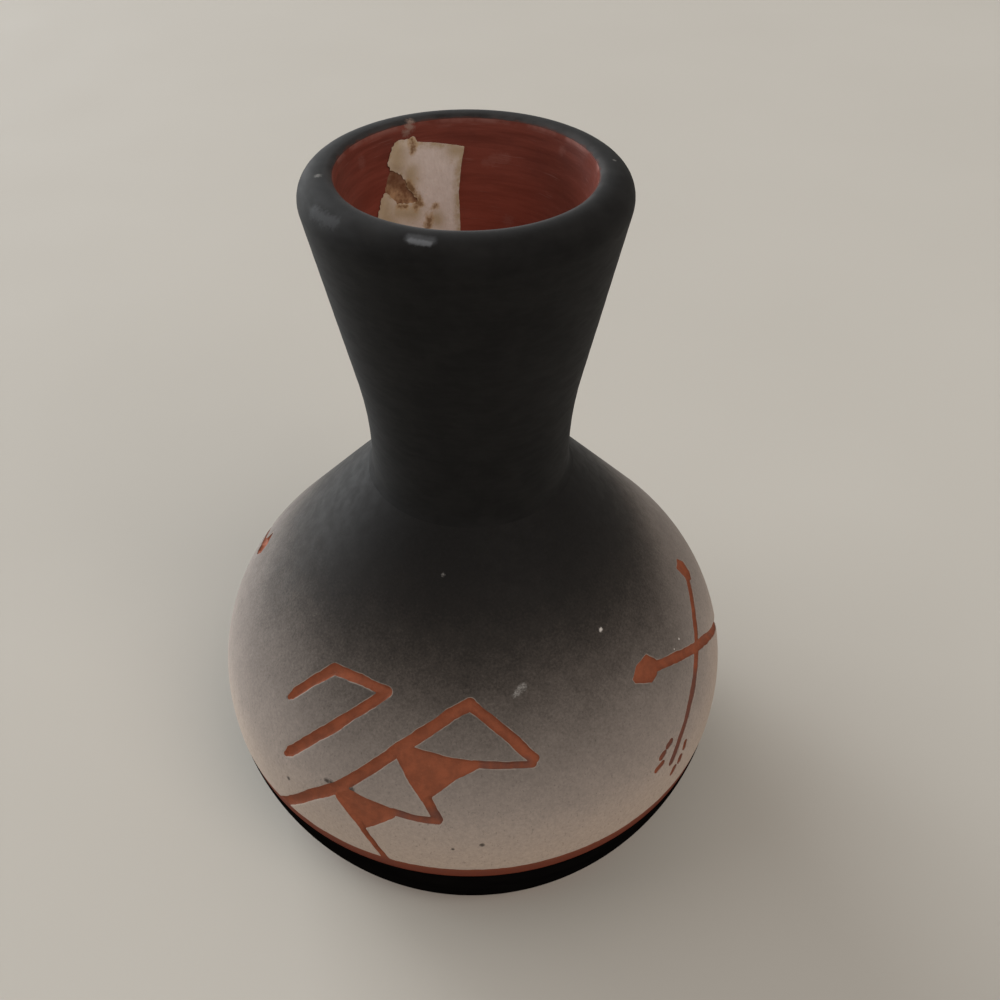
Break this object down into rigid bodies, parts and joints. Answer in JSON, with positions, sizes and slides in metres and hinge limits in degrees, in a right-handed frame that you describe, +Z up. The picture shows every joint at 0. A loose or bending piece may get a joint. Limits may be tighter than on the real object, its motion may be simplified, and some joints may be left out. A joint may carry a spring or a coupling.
{
  "type": "bud vase",
  "caption": "Small hand-thrown bud vase: round globe, flared neck, dark slip fading to pale with figures cut through to red clay, glazed inside.",
  "frame": {"origin": "centre of the flat foot, on the surface it stands on", "axes": "+Z up along the turning axis, -Y towards the side with the stepped figure, +X to the right of it"},
  "size_m": [0.092, 0.092, 0.12],
  "materials": {
    "clay": "bare fired red clay, matte",
    "luting_slip": "fired joining slip, matte",
    "graded_slip": "sprayed slip fading from black to warm white, matte",
    "black_slip": "black slip, soft satin",
    "liner": "thin clear lining glaze over red clay, satin",
    "glue": "dried brown label gum",
    "paper": "aged blank paper, stained"
  },
  "bodies": {
    "root": {"globe": "clay", "neck": "clay", "luting_ring": "luting_slip", "globe_coat": "graded_slip", "neck_coat": "black_slip", "foot_band": "black_slip", "liner_glaze": "liner", "label_adhesive": "glue", "paper_label": "paper"}
  },
  "joints": []
}
